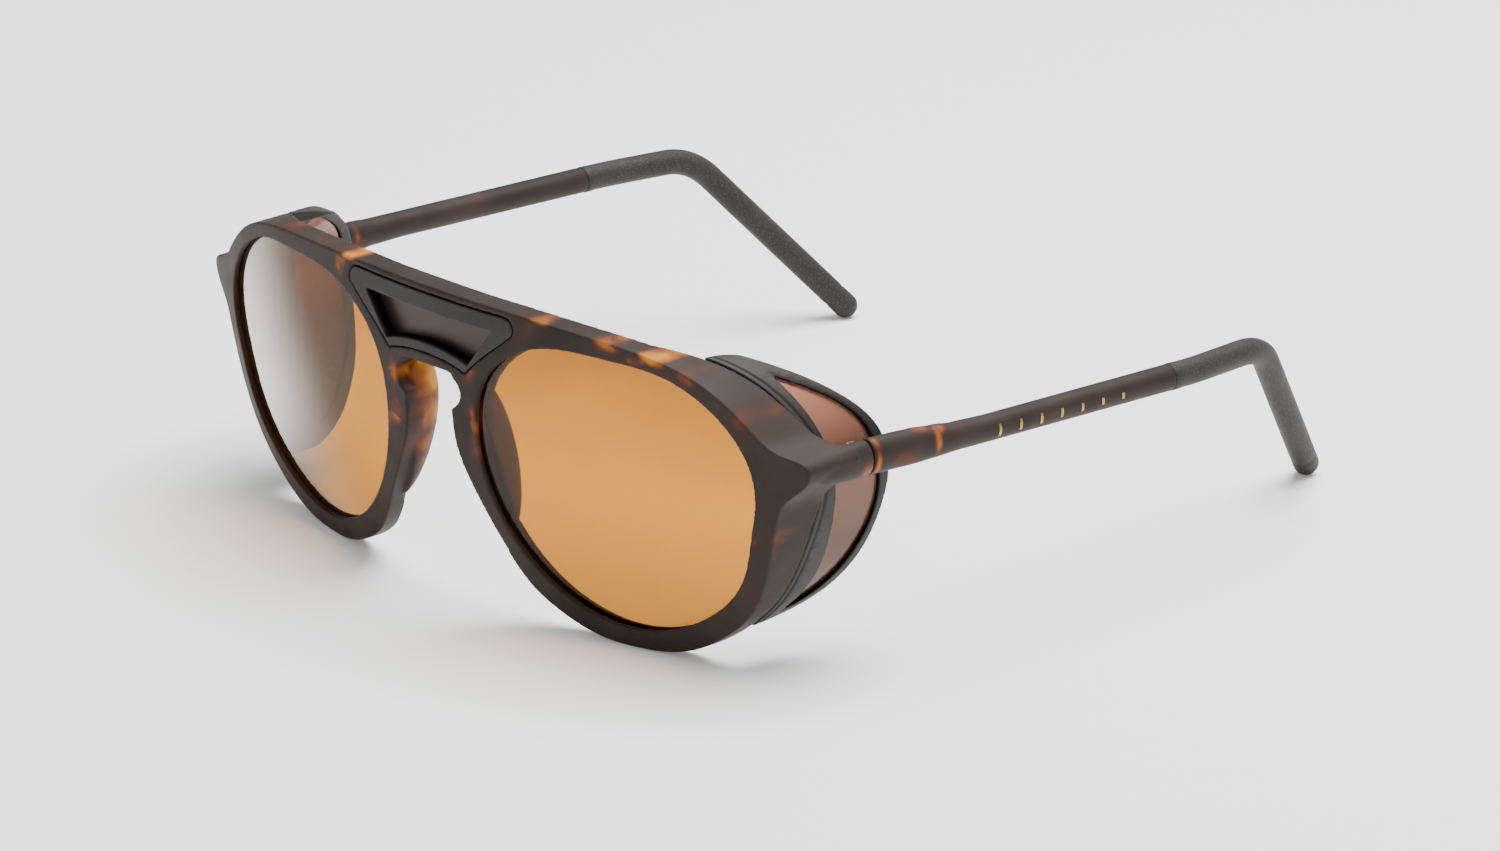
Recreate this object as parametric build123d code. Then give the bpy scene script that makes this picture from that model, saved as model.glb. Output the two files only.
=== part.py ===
from build123d import *
import os
from math import radians, tan

# Mountaineering sunglasses with a keyhole bridge, side shields and folding temples.
# All sizes are in millimetres.  +X is the wearer's left, the front faces -Y, and +Z is up.
# The parts are drawn with y = 0 near the front face, and moved at the end so that the origin
# is under the middle of the whole object, on the surface that it rests on.

# ---- driving dimensions -------------------------------------------------------------------
FACE_RADIUS = 162.0  # the front face is part of a large sphere, which wraps round the head
FACE_CENTRE = (0, 157.2, 47.9)
BACK_RADIUS = 157.8  # the back is another sphere, so that the front is thicker at the brow
BACK_CENTRE = (0, 157.4, 44.0)
REAR_SLOPE = 30.96  # degrees; the back of the temple side is a flat, raked plane
REAR_POINT = (57.1, 14.6, 28)  # a point on that plane
EYE = (36.4, 28.1)  # middle of a lens, in x and z

LENS_RECESS = 1.0  # the lens face lies this far behind the front face
LENS_THICKNESS = 1.5
LENS_LAP = 1.037  # the lens is this much larger than the opening, to sit in its groove

PAD_MIDDLE = (10.0, 0.5, 26.5)
PAD_HALF_SIZE = (3.2, 5.2, 13.5)
PAD_LEAN = 15  # degrees, towards the nose at the top

GASKET_DEPTH = 2.2
GASKET_GAP = 0.2
PANEL_THICKNESS = 1.0
PANEL_LAP = 0.7

SHIELD_THICKNESS = 2.0
SHIELD_FLUSH_Y = 17.0  # the shield is flush with the rim here, and leans inwards behind it
SHIELD_LEAN = 0.03  # inwards for each millimetre back
SHIELD_HALF_WIDTH = 65.0
SHIELD_GAP = 0.35  # between the rim and the shield
WINDOW_RECESS = 0.6
WINDOW_THICKNESS = 0.9
PEG_RADIUS = 0.45
PEG_LENGTH = 4.6

HINGE_X = 65.6  # the hinge axis is vertical, at the inner side of the temple
HINGE_Y = 26.6
HINGE_Z = 35.3
BARREL_RADIUS = 1.0
BARREL_PITCH = 0.7
BARREL_GAP = 0.08
BARREL_COUNT = 5
BARREL_RELIEF = 1.2
SCREW_RADIUS = 0.55
SCREW_RUNNING_GAP = 0.04
LEAF = (1.3, 6.2, 3.1)  # thickness, length and height of a hinge leaf
LEAF_INSET = 0.35  # from the hinge axis out to the leaf's inner face
LEAF_START = 0.1
RIVET_PLACES = (2.6, 4.9)  # from the hinge axis, along the leaf
RIVET_RADIUS = 0.45
RIVET_LENGTH = 2.4
SCREW_HEAD = 0.35
SEAM = 0.15  # half the gap between lug and temple

LUG_X = 68.5
LUG_Z = 35.8
LUG_HALF_WIDTH = 2.3
LUG_HALF_HEIGHT = 3.0
SHAFT_X = 70.0
SHAFT_RADIUS = 2.22
SLEEVE_START = (70.0, 93.9, 33.2)
SLEEVE_LEAD = (70.0, 100.0, 32.96)
TEMPLE_BEND = (68.07, 118.1, 32.3)
TIP = (55.35, 144.0, SHAFT_RADIUS)
BEND_RADIUS = 12.0
LEAD_RADIUS = 60.0
WIRE_RADIUS = 0.7
WIRE_CLEARANCE = 0.06
WIRE_DEPTH = 30.0  # how far the core wire runs into the shaft
TIP_COVER = 5.0  # rubber beyond the end of the wire

MARK_COUNT = 7
MARK_PITCH = 4.7
MARK_WIDTH = 0.55
MARK_START = 26.5  # from the front of the temple
MARK_PROUD = 0.07

# ---- outlines, as x and z on the front ----------------------------------------------------
eye_points = [
    (61.7, 28.1),
    (59.2, 41.3),
    (48.5, 49.1),
    (36.4, 50.4),
    (24.1, 49.5),
    (13.1, 41.6),
    (11.0, 28.1),
    (15.5, 16.0),
    (24.3, 7.2),
    (36.4, 3.6),
    (48.6, 6.9),
    (58.0, 15.6),
]
brow_points = [(0, 54.6), (22, 54.3), (37, 53.4), (49, 51.5), (57.6, 47.2), (63.4, 41.8)]
lug_top_points = [(63.4, 41.8), (66.4, 39.8), (69.4, 38.9), (71.1, 37.0)]
lug_bottom_points = [(71.1, 37.0), (69.6, 34.1), (67.2, 31.9), (65.5, 28.4)]
rim_points = [
    (65.5, 28.4),
    (63.6, 21.2),
    (59.4, 11.2),
    (52.6, 4.7),
    (45.2, 1.0),
    (37.6, 0.0),
    (29.5, 0.7),
    (21.2, 4.4),
    (14.8, 11.2),
]
nasal_points = [(14.8, 11.2), (9.9, 19.9), (6.4, 27.0), (5.4, 35.0)]
keyhole_points = [(5.4, 35.0), (6.8, 36.1), (7.6, 38.4), (5.9, 40.7), (3.0, 41.2)]


def prism(sketch, y_from, y_to):
    """A bar of an x-z outline, from one depth to another."""
    return extrude(Plane.XZ.offset(-y_from) * sketch, amount=y_from - y_to)


def ball(depth):
    """The inside of the face's sphere, a given depth behind the face."""
    return Pos(*FACE_CENTRE) * Sphere(FACE_RADIUS - depth)


def shell(sketch, depth_from, depth_to):
    """A curved plate of an x-z outline, between two depths behind the face."""
    return (prism(sketch, -20, 30) & ball(depth_from)) - ball(depth_to)


def both_sides(points):
    """An outline's points for x > 0, and the same for x < 0."""
    return points + [(-x, z) for x, z in reversed(points) if x > 0]


def other_side(part):
    return mirror(part, about=Plane.YZ)


def back_ball(gap):
    """Everything more than a gap behind the back of the front."""
    return Pos(*BACK_CENTRE) * Sphere(BACK_RADIUS - gap)


def raked(offset):
    """Everything in front of the raked rear plane, which is moved back by offset."""
    return Pos(*REAR_POINT) * Rot(0, 0, REAR_SLOPE) * Pos(0, offset - 60, 0) * Box(240, 120, 160)


# ---- front frame --------------------------------------------------------------------------
half_edges = [
    Spline(*brow_points, tangents=[(1, 0), (0.7, -0.72)]),
    Spline(*lug_top_points, tangents=[(0.7, -0.72), (0.1, -1)]),
    Spline(*lug_bottom_points, tangents=[(-0.1, -1), (-0.25, -1)]),
    Spline(*rim_points, tangents=[(-0.25, -1), (-0.6, 1)]),
    Spline(*nasal_points, tangents=[(-0.6, 1), (0, 1)]),
    Spline(*keyhole_points, tangents=[(0.8, 0.4), (-1, 0)]),
    Line(keyhole_points[-1], (0, 41.2)),
    Line((0, 41.2), (0, 54.6)),
]
half_front = make_face(half_edges)
eye_opening = make_face([Spline(*eye_points, periodic=True)])
lens_outline = Pos(EYE[0] * (1 - LENS_LAP), EYE[1] * (1 - LENS_LAP)) * scale(eye_opening, by=LENS_LAP)


def lug():
    """The bar that carries the hinge, from the tip of the face back to the seam."""
    stations = [(13.4, 68.9, 36.4, 0.66), (19.0, 69.0, 36.2, 0.92), (HINGE_Y - SEAM, LUG_X, LUG_Z, 1)]
    rings = [
        Plane.XZ.offset(-y) * Pos(x, z) * Ellipse(LUG_HALF_WIDTH * size, LUG_HALF_HEIGHT * size)
        for y, x, z, size in stations
    ]
    return loft(rings)


def nose_pad():
    """A moulded pad behind the rim: part of an egg shape that leans along the nose."""
    egg = Pos(*PAD_MIDDLE) * Rot(0, -PAD_LEAN, 0) * scale(Sphere(1), by=PAD_HALF_SIZE)
    return egg & ball(LENS_RECESS + LENS_THICKNESS - 0.1)


blank = prism(half_front, -20, 30) & ball(0)
half_body = (blank - back_ball(0)) + (blank & raked(0)) + lug()
half_body = half_body - prism(eye_opening, -20, 40) + nose_pad()
lens = shell(lens_outline, LENS_RECESS, LENS_RECESS + LENS_THICKNESS)

def grown(face, half_size, middle_z, margin):
    """An outline on the bridge made larger by about margin all round."""
    factors = (1 + margin / half_size[0], 1 + margin / half_size[1], 1)
    return Pos(0, middle_z * (1 - factors[1])) * scale(face, by=factors)


# ---- bridge gasket and its window ---------------------------------------------------------
gasket_top = 53.2
gasket_corner = [(17.0, gasket_top), (19.0, 52.3), (18.9, 50.4)]
gasket_side = [(18.9, 50.4), (16.2, 48.2), (12.4, 45.2), (9.0, 42.0)]
gasket_foot = [(9.0, 42.0), (4.8, 43.0), (0, 43.3)]
gasket_half = [
    Line((0, gasket_top), gasket_corner[0]),
    Spline(*gasket_corner, tangents=[(1, 0), (-0.7, -0.7)]),
    Spline(*gasket_side),
    Spline(*gasket_foot, tangents=[(-1, 0.35), (-1, 0)]),
    Line(gasket_foot[-1], (0, gasket_top)),
]
gasket_face = make_face(gasket_half)
gasket_face = gasket_face + other_side(gasket_face)
window_half = [
    Line((0, 50.4), (15.0, 50.4)),
    Line((15.0, 50.4), (9.6, 43.4)),
    Spline((9.6, 43.4), (5.0, 44.5), (0, 44.9), tangents=[(-1, 0.4), (-1, 0)]),
    Line((0, 44.9), (0, 50.4)),
]
window_face = make_face(window_half)
window_face = window_face + other_side(window_face)
panel_face = grown(window_face, (15.0, 3.5), 46.9, PANEL_LAP)
recess_face = grown(gasket_face, (19.0, 5.6), 47.6, GASKET_GAP)
gasket = shell(gasket_face, 0, GASKET_DEPTH) - prism(window_face, -20, 30)
bridge_window = shell(panel_face, GASKET_DEPTH, GASKET_DEPTH + PANEL_THICKNESS)

# ---- side shield --------------------------------------------------------------------------
shield_curve = Spline(
    (49.0, 51.5),
    (54.0, 49.5),
    (60.4, 44.4),
    (64.4, 38.0),
    (65.5, 30.0),
    (63.6, 21.2),
    (59.4, 11.2),
    (54.5, 6.0),
)
CURVE_STEPS = 14


def curve_inside(depth):
    """The shield's outline moved inwards by depth."""
    points = []
    for step in range(CURVE_STEPS + 1):
        place = step / CURVE_STEPS
        along = shield_curve % place
        points.append(shield_curve @ place + Vector(along.Y, -along.X) * depth)
    return Spline(*points)


def shield_wall(depth_from, depth_to):
    """A curved wall that follows the rim's outline and leans inwards towards its back."""
    outer = shield_curve if depth_from == 0 else curve_inside(depth_from)
    inner = curve_inside(depth_to)
    strip = make_face([outer, Line(outer @ 1, inner @ 1), inner, Line(inner @ 0, outer @ 0)])
    ends = []
    for y in (6, 42):
        narrower = 1 - SHIELD_LEAN * (y - SHIELD_FLUSH_Y) / SHIELD_HALF_WIDTH
        ends.append(Plane.XZ.offset(-y) * scale(strip, by=(narrower, 1, 1)))
    return loft(ends)


def side_cut(edges):
    """A bar along x of an outline drawn from the side, as y and z."""
    return extrude(Plane.YZ.offset(35) * make_face(edges), amount=45)


tongue_curve = Spline(
    (10.0, 51.5),
    (16.1, 50.5),
    (22.0, 48.2),
    (28.4, 44.2),
    (33.3, 39.4),
    (35.2, 35.0),
    (35.2, 26.0),
    (33.1, 17.4),
    (28.3, 11.4),
    (21.3, 8.0),
    (10.0, 6.8),
)
tongue_front = Polyline((10.0, 6.8), (0, 6.8), (0, 51.5), (10.0, 51.5))
tongue = side_cut([tongue_curve, tongue_front])
window_back = Spline(
    (18.4, 48.1),
    (25.5, 44.4),
    (31.2, 39.2),
    (33.0, 32.6),
    (32.5, 21.2),
    (28.7, 14.6),
    (19.2, 9.2),
)
window_front = Spline((19.2, 9.2), (23.0, 14.6), (23.8, 23.4), (22.6, 36.4), (18.4, 48.1))
shield_hole = side_cut([window_back, window_front])

PEG_PLACES = [0.3, 0.62, 0.86]  # along the shield's curve, from its top
PEG_IN_SHIELD = 2.1
wall_middle = curve_inside(SHIELD_THICKNESS / 2)
pegs = []
for place in PEG_PLACES:
    spot = wall_middle @ place
    seam_y = REAR_POINT[1] + tan(radians(REAR_SLOPE)) * (spot.X - REAR_POINT[0])
    peg = Rot(90, 0, 0) * Cylinder(PEG_RADIUS, PEG_LENGTH)
    pegs.append(Pos(spot.X, seam_y + PEG_IN_SHIELD - PEG_LENGTH / 2, spot.Y) * peg)
shield_pegs = Compound(pegs)

shield_frame = shield_wall(0, SHIELD_THICKNESS) & tongue & back_ball(SHIELD_GAP)
shield_frame = shield_frame - raked(SHIELD_GAP) - shield_hole
shield_window = shield_wall(WINDOW_RECESS, WINDOW_RECESS + WINDOW_THICKNESS) & shield_hole
for peg in pegs:
    shield_frame = shield_frame - peg

# ---- hinge --------------------------------------------------------------------------------
hinge_foot = HINGE_Z - BARREL_COUNT * BARREL_PITCH / 2
hinge_top = hinge_foot + BARREL_COUNT * BARREL_PITCH


def axle(radius, z_from, z_to):
    """A round bar on the hinge's axis."""
    middle = (z_from + z_to) / 2
    return Pos(HINGE_X, HINGE_Y, middle) * Cylinder(radius, z_to - z_from)


def hinge_leaf(direction, first, bore):
    """A leaf with every second barrel: direction is -1 on the lug and 1 on the temple."""
    thickness, length, height = LEAF
    middle_x = HINGE_X + LEAF_INSET + thickness / 2
    middle_y = HINGE_Y + direction * (length / 2 + LEAF_START)
    leaf = Pos(middle_x, middle_y, HINGE_Z) * Box(thickness, length, height)
    for level in range(BARREL_COUNT):
        low = hinge_foot + level * BARREL_PITCH
        if level % 2 != first:
            leaf = leaf - axle(BARREL_RELIEF, low - BARREL_GAP, low + BARREL_PITCH + BARREL_GAP)
    for level in range(first, BARREL_COUNT, 2):
        low = hinge_foot + level * BARREL_PITCH
        leaf = leaf + axle(BARREL_RADIUS, low + BARREL_GAP / 2, low + BARREL_PITCH - BARREL_GAP / 2)
    return leaf - axle(bore, hinge_foot - 1, hinge_top + 1)


def rivets(direction):
    """Two pins that hold a leaf: direction is as for hinge_leaf."""
    pin = Rot(0, 90, 0) * Cylinder(RIVET_RADIUS, RIVET_LENGTH)
    middle_x = HINGE_X + LEAF_INSET + RIVET_LENGTH / 2
    return [Pos(middle_x, HINGE_Y + direction * y, HINGE_Z) * pin for y in RIVET_PLACES]


front_leaf = hinge_leaf(-1, 0, SCREW_RADIUS + 0.01)
temple_leaf = hinge_leaf(1, 1, SCREW_RADIUS + SCREW_RUNNING_GAP)
front_rivets = rivets(-1)
temple_rivets = rivets(1)
screw_head = axle(BARREL_RADIUS - 0.1, hinge_top, hinge_top + SCREW_HEAD)
screw_slot = Pos(HINGE_X, HINGE_Y, hinge_top + SCREW_HEAD) * Box(2.4, 0.3, SCREW_HEAD)
screw = axle(SCREW_RADIUS, hinge_foot, hinge_top) + screw_head - screw_slot
barrel_space = axle(BARREL_RELIEF, hinge_foot - 0.5, hinge_top + 1)

front_half = half_body - lens - front_leaf - barrel_space
for pin in front_rivets + pegs:
    front_half = front_half - pin
for pin in front_rivets:
    front_leaf = front_leaf - pin
front_frame = front_half + other_side(front_half)
front_frame = front_frame - shell(recess_face, -1, GASKET_DEPTH) - bridge_window

# ---- temple -------------------------------------------------------------------------------
shaft_start = Vector(SHAFT_X, HINGE_Y + SEAM, LUG_Z)
shaft_line = Vector(*SLEEVE_START) - shaft_start
shaft_length = shaft_line.length
shaft_plane = Plane(origin=shaft_start, x_dir=(1, 0, 0), z_dir=shaft_line)


def shaft_section(distance, half_width, half_height, inwards):
    return shaft_plane.offset(distance) * Pos(-inwards, 0) * Ellipse(half_width, half_height)


TAPER_END = 26  # the thick end curves in to the hinge over this length
CIRCLE_HEIGHT = SHAFT_RADIUS + 0.001
thick_end = [
    shaft_section(0, LUG_HALF_WIDTH, LUG_HALF_HEIGHT, SHAFT_X - LUG_X),
    shaft_section(5, LUG_HALF_WIDTH, LUG_HALF_HEIGHT, 1.3),
    shaft_section(9.5, LUG_HALF_WIDTH, LUG_HALF_HEIGHT - 0.03, 1.0),
    shaft_section(14, SHAFT_RADIUS + 0.05, SHAFT_RADIUS + 0.47, 0.65),
    shaft_section(18.5, SHAFT_RADIUS + 0.01, SHAFT_RADIUS + 0.13, 0.3),
    shaft_section(TAPER_END, SHAFT_RADIUS, CIRCLE_HEIGHT, 0),
]
taper = loft(thick_end)
shaft = taper + extrude(thick_end[-1], amount=shaft_length - TAPER_END)
front_trim = Pos(LUG_X, HINGE_Y + SEAM - 5, LUG_Z) * Box(20, 10, 20)
shaft = shaft - front_trim - temple_leaf - barrel_space
for pin in temple_rivets:
    shaft = shaft - pin
    temple_leaf = temple_leaf - pin

sleeve_path = FilletPolyline(SLEEVE_START, SLEEVE_LEAD, TEMPLE_BEND, TIP, radius=[LEAD_RADIUS, BEND_RADIUS])
start_plane = Plane(origin=SLEEVE_START, x_dir=(1, 0, 0), z_dir=sleeve_path % 0)
sleeve = sweep(start_plane * Circle(SHAFT_RADIUS), path=sleeve_path) + Pos(*TIP) * Sphere(SHAFT_RADIUS)

tip_way = (Vector(*TIP) - Vector(*TEMPLE_BEND)).normalized()
wire_end = Vector(*TIP) - tip_way * TIP_COVER
wire_start = Vector(*SLEEVE_START) - shaft_line.normalized() * WIRE_DEPTH
path_radii = [LEAD_RADIUS, BEND_RADIUS]
wire_path = FilletPolyline(wire_start, SLEEVE_LEAD, TEMPLE_BEND, wire_end, radius=path_radii)
wire_plane = Plane(origin=wire_start, x_dir=(1, 0, 0), z_dir=wire_path % 0)
core_wire = sweep(wire_plane * Circle(WIRE_RADIUS), path=wire_path)
wire_bore = sweep(wire_plane * Circle(WIRE_RADIUS + WIRE_CLEARANCE), path=wire_path)
shaft = shaft - wire_bore
sleeve = sleeve - wire_bore

marks = []
for number in range(MARK_COUNT):
    height = 2.0 - 0.17 * number
    distance = MARK_START + number * MARK_PITCH
    strip = shaft_plane * Pos(SHAFT_RADIUS, 0, distance) * Box(2.4, height, MARK_WIDTH)
    skin = extrude(shaft_plane.offset(distance - 2) * Circle(SHAFT_RADIUS + MARK_PROUD), amount=4)
    marks.append((strip & skin) - shaft)
temple_marks = Compound(marks)

# ---- place and write every node -----------------------------------------------------------
sided = {
    "lens": lens,
    "shield_frame": shield_frame,
    "shield_window": shield_window,
    "shield_pegs": shield_pegs,
    "front_hinge": front_leaf,
    "front_rivets": Compound(front_rivets),
    "hinge_screw": screw,
    "temple": shaft,
    "temple_hinge": temple_leaf,
    "temple_rivets": Compound(temple_rivets),
    "core_wire": core_wire,
    "sleeve": sleeve,
    "temple_marks": temple_marks,
}
nodes = {"front_frame": front_frame, "bridge_gasket": gasket, "bridge_window": bridge_window}
for name, part in sided.items():
    nodes["left_" + name] = part
    nodes["right_" + name] = other_side(part)

box = Compound(list(nodes.values())).bounding_box()
to_origin = Pos(0, -box.center().Y, -box.min.Z)
os.makedirs("parts", exist_ok=True)
for name, part in nodes.items():
    export_step(to_origin * part, "parts/" + name + ".step")
print("size", box.size)
print("moved by", to_origin.position)
print("left hinge axis", HINGE_X, HINGE_Y - box.center().Y, HINGE_Z - box.min.Z)
print("tip direction", tip_way, "tip centre", to_origin * Pos(*TIP))
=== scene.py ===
import math

import bmesh
import bpy
import numpy as np
from mathutils import Matrix, Vector, noise
from mathutils.bvhtree import BVHTree


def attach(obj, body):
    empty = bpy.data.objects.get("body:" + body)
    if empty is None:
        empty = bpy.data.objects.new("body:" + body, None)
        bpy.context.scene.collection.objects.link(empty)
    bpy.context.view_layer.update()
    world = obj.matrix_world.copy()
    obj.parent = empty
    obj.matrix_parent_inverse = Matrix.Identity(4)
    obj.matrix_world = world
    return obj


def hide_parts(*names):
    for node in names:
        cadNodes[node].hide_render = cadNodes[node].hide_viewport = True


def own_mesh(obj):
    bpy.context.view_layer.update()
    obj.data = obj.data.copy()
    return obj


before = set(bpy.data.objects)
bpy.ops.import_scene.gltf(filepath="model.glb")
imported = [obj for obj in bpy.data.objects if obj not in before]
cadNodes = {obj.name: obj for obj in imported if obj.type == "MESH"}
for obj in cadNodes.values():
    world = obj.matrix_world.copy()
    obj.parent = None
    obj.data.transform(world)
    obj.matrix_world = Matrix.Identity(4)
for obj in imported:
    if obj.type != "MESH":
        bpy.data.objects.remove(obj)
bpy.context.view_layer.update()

# Glacier glasses: the looks. Metres, +X is the wearer's left, the front faces -Y, +Z is up.

scene = bpy.context.scene
mm = 0.001
sides = {"left": 1, "right": -1}  # sign of X on each side

cameraSet = {
    "target": (0.01373, -0.01646, 0.01992),
    "distance": 1.44837,
    "azimuth": 46.06,  # degrees from straight ahead, towards the wearer's left
    "elevation": 19.83,
    "roll": 0.26,
    "lens": 211.85,
    "sensor": 36.0,
    "clipStart": 0.05,
    "clipEnd": 20,
}


def makeCamera():
    azimuth = math.radians(cameraSet["azimuth"])
    elevation = math.radians(cameraSet["elevation"])
    roll = math.radians(cameraSet["roll"])
    back = Vector((
        math.sin(azimuth) * math.cos(elevation),
        -math.cos(azimuth) * math.cos(elevation),
        math.sin(elevation),
    ))
    level = Vector((math.cos(azimuth), math.sin(azimuth), 0))
    upright = back.cross(level)
    right = level * math.cos(roll) + upright * math.sin(roll)
    up = upright * math.cos(roll) - level * math.sin(roll)
    data = bpy.data.cameras.new("viewCamera")
    data.lens = cameraSet["lens"]
    data.sensor_width = cameraSet["sensor"]
    data.clip_start = cameraSet["clipStart"]
    data.clip_end = cameraSet["clipEnd"]
    camera = bpy.data.objects.new("viewCamera", data)
    scene.collection.objects.link(camera)
    turn = Matrix((right, up, back)).transposed().to_4x4()
    place = Vector(cameraSet["target"]) + back * cameraSet["distance"]
    camera.matrix_world = Matrix.Translation(place) @ turn
    scene.camera = camera


lightSet = {
    # place, size and watts of each round lamp
    "lamps": {
        "overhead": ((0.1, 0.2, 0.9), 0.9, 24.0),
        "backLeft": ((-0.5, 0.9, 0.7), 0.6, 1.4),
        "frontRight": ((0.9, -0.5, 0.45), 0.5, 0.8),
    },
    "lookAt": (0, 0, 0.02),
    "worldColour": (1.0, 0.995, 0.985, 1),
    "worldStrength": 0.48,
}


def makeLights():
    for name, (place, size, watts) in lightSet["lamps"].items():
        data = bpy.data.lights.new(name, "AREA")
        data.shape = "DISK"
        data.size = size
        data.energy = watts
        lamp = bpy.data.objects.new(name, data)
        lamp.location = place
        away = Vector(place) - Vector(lightSet["lookAt"])
        lamp.rotation_euler = away.to_track_quat("Z", "Y").to_euler()
        scene.collection.objects.link(lamp)
    world = bpy.data.worlds.new("paleStudio")
    world.use_nodes = True
    sky = world.node_tree.nodes["Background"]
    sky.inputs["Color"].default_value = lightSet["worldColour"]
    sky.inputs["Strength"].default_value = lightSet["worldStrength"]
    scene.world = world


floorSet = {
    "halfSize": 3.0,
    "colour": (0.95, 0.95, 0.945, 1),
    "roughness": 0.75,
    "shine": 0.15,
    "glow": 0.15,
}


def floorMaterial():
    material = bpy.data.materials.new("paleFloor")
    material.use_nodes = True
    nodes = material.node_tree.nodes
    links = material.node_tree.links
    nodes.clear()
    output = nodes.new("ShaderNodeOutputMaterial")
    output.label = "floor out"
    output.location = (400, 0)
    surface = nodes.new("ShaderNodeBsdfPrincipled")
    surface.label = "matt white card"
    surface.location = (100, 0)
    surface.inputs["Base Color"].default_value = floorSet["colour"]
    surface.inputs["Roughness"].default_value = floorSet["roughness"]
    surface.inputs["Specular IOR Level"].default_value = floorSet["shine"]
    surface.inputs["Emission Color"].default_value = floorSet["colour"]
    surface.inputs["Emission Strength"].default_value = floorSet["glow"]
    links.new(surface.outputs["BSDF"], output.inputs["Surface"])
    return material


def makeFloor():
    half = floorSet["halfSize"]
    corners = [(-half, -half, 0), (half, -half, 0), (half, half, 0), (-half, half, 0)]
    mesh = bpy.data.meshes.new("floor")
    mesh.from_pydata(corners, [], [(0, 1, 2, 3)])
    floor = bpy.data.objects.new("floor", mesh)
    scene.collection.objects.link(floor)
    mesh.materials.append(floorMaterial())


def tortoiseMaterial(name, look):
    # warmth is painted on the mesh: 0 is the dark plastic, 1 the middle of an amber patch
    material = bpy.data.materials.new(name)
    material.use_nodes = True
    nodes = material.node_tree.nodes
    links = material.node_tree.links
    nodes.clear()

    colourFrame = nodes.new("NodeFrame")
    colourFrame.label = "tortoise colour"
    satinFrame = nodes.new("NodeFrame")
    satinFrame.label = "tumbled satin surface"

    output = nodes.new("ShaderNodeOutputMaterial")
    output.label = "frame plastic out"
    output.location = (1400, 0)
    plastic = nodes.new("ShaderNodeBsdfPrincipled")
    plastic.label = "injected nylon"
    plastic.location = (1100, 0)
    place = nodes.new("ShaderNodeTexCoord")
    place.label = "place on the frame"
    place.location = (-1100, 0)
    warmth = nodes.new("ShaderNodeAttribute")
    warmth.label = "painted warm patches"
    warmth.location = (-700, 400)
    warmth.parent = colourFrame
    cloud = nodes.new("ShaderNodeTexNoise")
    cloud.label = "cloudy edges of patches"
    cloud.location = (-700, 150)
    cloud.parent = colourFrame
    cloudRange = nodes.new("ShaderNodeMapRange")
    cloudRange.label = "cloud pushes the edge in and out"
    cloudRange.location = (-450, 150)
    cloudRange.parent = colourFrame
    spread = nodes.new("ShaderNodeMath")
    spread.label = "patch times cloud"
    spread.location = (-200, 300)
    spread.parent = colourFrame
    tones = nodes.new("ShaderNodeValToRGB")
    tones.label = "dark brown, red, orange, amber"
    tones.location = (50, 300)
    tones.parent = colourFrame
    drift = nodes.new("ShaderNodeTexNoise")
    drift.label = "slow drift of the dark tone"
    drift.location = (-450, -100)
    drift.parent = colourFrame
    driftTones = nodes.new("ShaderNodeValToRGB")
    driftTones.label = "black brown to grey brown"
    driftTones.location = (-200, -100)
    driftTones.parent = colourFrame
    joined = nodes.new("ShaderNodeMix")
    joined.label = "warm patches over dark plastic"
    joined.location = (400, 200)
    joined.parent = colourFrame
    cover = nodes.new("ShaderNodeMapRange")
    cover.label = "how far a patch covers"
    cover.location = (100, 0)
    cover.parent = colourFrame

    grain = nodes.new("ShaderNodeTexNoise")
    grain.label = "tumbling grain"
    grain.location = (-200, -500)
    grain.parent = satinFrame
    haze = nodes.new("ShaderNodeTexNoise")
    haze.label = "handling haze"
    haze.location = (-200, -750)
    haze.parent = satinFrame
    roughRange = nodes.new("ShaderNodeMapRange")
    roughRange.label = "satin roughness"
    roughRange.location = (100, -750)
    roughRange.parent = satinFrame
    bump = nodes.new("ShaderNodeBump")
    bump.label = "fine grain height"
    bump.location = (400, -500)
    bump.parent = satinFrame

    warmth.attribute_name = "warmth"
    cloud.inputs["Scale"].default_value = look["cloudScale"]
    cloud.inputs["Detail"].default_value = 1.5
    cloud.inputs["Roughness"].default_value = 0.45
    cloud.inputs["Distortion"].default_value = 0.15
    cloudRange.inputs["From Min"].default_value = 0.3
    cloudRange.inputs["From Max"].default_value = 0.7
    cloudRange.inputs["To Min"].default_value = 0.6
    cloudRange.inputs["To Max"].default_value = 1.2
    spread.operation = "MULTIPLY"
    tones.color_ramp.elements[0].position = 0.08
    tones.color_ramp.elements[0].color = look["darkRed"]
    tones.color_ramp.elements[1].position = 0.95
    tones.color_ramp.elements[1].color = look["amber"]
    orangeStop = tones.color_ramp.elements.new(0.6)
    orangeStop.color = look["orange"]
    redStop = tones.color_ramp.elements.new(0.32)
    redStop.color = look["red"]
    cover.inputs["From Min"].default_value = 0.02
    cover.inputs["From Max"].default_value = 0.45
    drift.inputs["Scale"].default_value = 55
    drift.inputs["Detail"].default_value = 4
    driftTones.color_ramp.elements[0].position = 0.35
    driftTones.color_ramp.elements[0].color = look["dark"]
    driftTones.color_ramp.elements[1].position = 0.72
    driftTones.color_ramp.elements[1].color = look["brown"]
    joined.data_type = "RGBA"
    grain.inputs["Scale"].default_value = 5200
    grain.inputs["Detail"].default_value = 2
    haze.inputs["Scale"].default_value = 180
    haze.inputs["Detail"].default_value = 3
    roughRange.inputs["To Min"].default_value = look["roughness"] - 0.06
    roughRange.inputs["To Max"].default_value = look["roughness"] + 0.1
    bump.inputs["Strength"].default_value = 0.22
    bump.inputs["Distance"].default_value = 0.00004
    plastic.inputs["IOR"].default_value = 1.5
    plastic.inputs["Specular IOR Level"].default_value = look["shine"]
    plastic.inputs["Sheen Weight"].default_value = 0.02
    plastic.inputs["Sheen Roughness"].default_value = 0.4

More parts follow.
